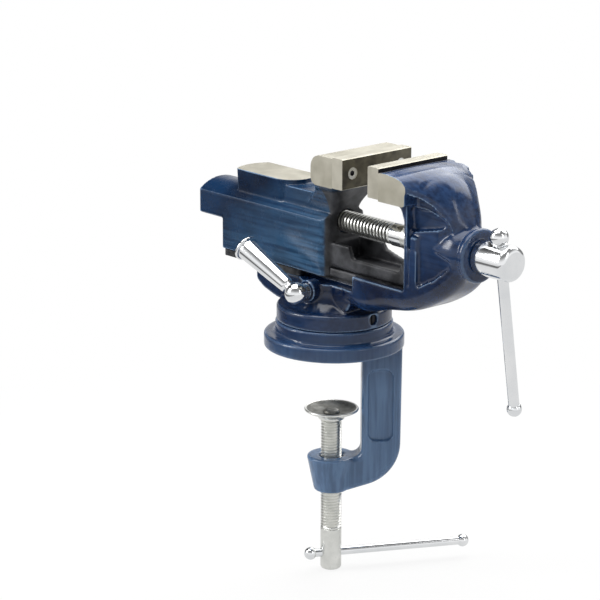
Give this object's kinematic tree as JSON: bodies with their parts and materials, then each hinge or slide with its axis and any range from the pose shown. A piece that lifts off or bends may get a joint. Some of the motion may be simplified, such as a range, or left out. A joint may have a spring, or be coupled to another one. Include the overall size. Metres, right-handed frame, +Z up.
{
  "type": "clamp-on swivel bench vise",
  "caption": "Clamp-on bench vise: swivel base on a C-clamp, sliding jaw driven by a spindle with tommy bar, small anvil and swivel lock lever.",
  "frame": {"origin": "swivel axis where it meets the bench face, the underside of the round turntable", "axes": "+X along the spindle towards its head, +Y across the jaws, +Z up"},
  "size_m": [0.2757, 0.1304, 0.2901],
  "materials": {
    "navy_enamel": "gloss",
    "ground_steel": "ground",
    "bright_steel": "zinc plated",
    "chrome": "polished",
    "brass": "machined",
    "black_steel": "oil black"
  },
  "bodies": {
    "bench_clamp": {"clamp_frame": "navy_enamel", "pivot_spigot": "bright_steel", "thrust_washer": "brass"},
    "vise_body": {"swivel_body": "navy_enamel", "swivel_grub_screw": "black_steel", "fixed_jaw_plate": "ground_steel", "fixed_jaw_screws": "bright_steel"},
    "moving_jaw": {"moving_jaw_casting": "navy_enamel", "moving_jaw_plate": "ground_steel", "moving_jaw_screws": "bright_steel", "front_keeper": "black_steel", "rear_keeper": "black_steel", "keeper_screws": "black_steel", "spindle_nut": "brass", "nut_screws": "black_steel"},
    "spindle_assembly": {"spindle": "bright_steel", "retaining_collar": "bright_steel", "retaining_pin": "black_steel"},
    "spindle_tommy_bar": {"spindle_bar": "chrome", "spindle_bar_upper_knob": "chrome", "spindle_bar_lower_knob": "chrome"},
    "lock_plug": {"lock_shoe": "brass"},
    "lock_handle": {"lock_screw": "chrome", "lock_lever": "chrome"},
    "clamp_thrust": {"pad_rivet": "bright_steel"},
    "clamp_foot": {"clamp_pad": "bright_steel"},
    "clamp_spindle": {"clamp_screw": "bright_steel"},
    "clamp_tommy_bar": {"clamp_bar": "chrome", "clamp_bar_short_knob": "chrome", "clamp_bar_long_knob": "chrome"}
  },
  "joints": [
    {"name": "swivel", "type": "hinge", "parent": "bench_clamp", "child": "vise_body", "pos_m": [0, 0, 0], "axis": [0, 0, 1], "continuous": true},
    {"name": "spindle_turn", "type": "hinge", "parent": "vise_body", "child": "spindle_assembly", "pos_m": [0.1, 0, 0.085], "axis": [-1, 0, 0], "range_deg": [-3720, 2760]},
    {"name": "jaw_slide", "type": "slide", "parent": "vise_body", "child": "moving_jaw", "axis": [1, 0, 0], "range_m": [-0.031, 0.023]},
    {"name": "spindle_bar_slide", "type": "slide", "parent": "spindle_assembly", "child": "spindle_tommy_bar", "axis": [0, -0.1478, 0.989], "range_m": [0, 0.08]},
    {"name": "lock_travel", "type": "slide", "parent": "vise_body", "child": "lock_plug", "axis": [0, -1, 0], "range_m": [-0.00053, 0.00011]},
    {"name": "lock_turn", "type": "hinge", "parent": "lock_plug", "child": "lock_handle", "pos_m": [0.003, -0.036, 0.0415], "axis": [0, -1, 0], "range_deg": [-150, 30]},
    {"name": "clamp_travel", "type": "slide", "parent": "bench_clamp", "child": "clamp_thrust", "axis": [0, 0, 1], "range_m": [-0.022, 0.04]},
    {"name": "clamp_turn", "type": "hinge", "parent": "clamp_thrust", "child": "clamp_spindle", "pos_m": [-0.00096, -0.00115, -0.1], "axis": [0, 0, 1], "range_deg": [-3960, 7200]},
    {"name": "clamp_bar_slide", "type": "slide", "parent": "clamp_spindle", "child": "clamp_tommy_bar", "axis": [0.4695, 0.8829, 0], "range_m": [-0.08, 0.0025]},
    {"name": "pad_tilt", "type": "hinge", "parent": "clamp_thrust", "child": "clamp_foot", "pos_m": [-0.00096, -0.00115, -0.0482], "axis": [1, 0, 0], "range_deg": [-3, 3]}
  ],
  "couplings": [
    {"joint": "jaw_slide", "follows": "spindle_turn", "m_per_rad": 0.00047746},
    {"joint": "lock_travel", "follows": "lock_turn", "m_per_rad": 0.00019894},
    {"joint": "clamp_travel", "follows": "clamp_turn", "m_per_rad": 0.00031831}
  ]
}
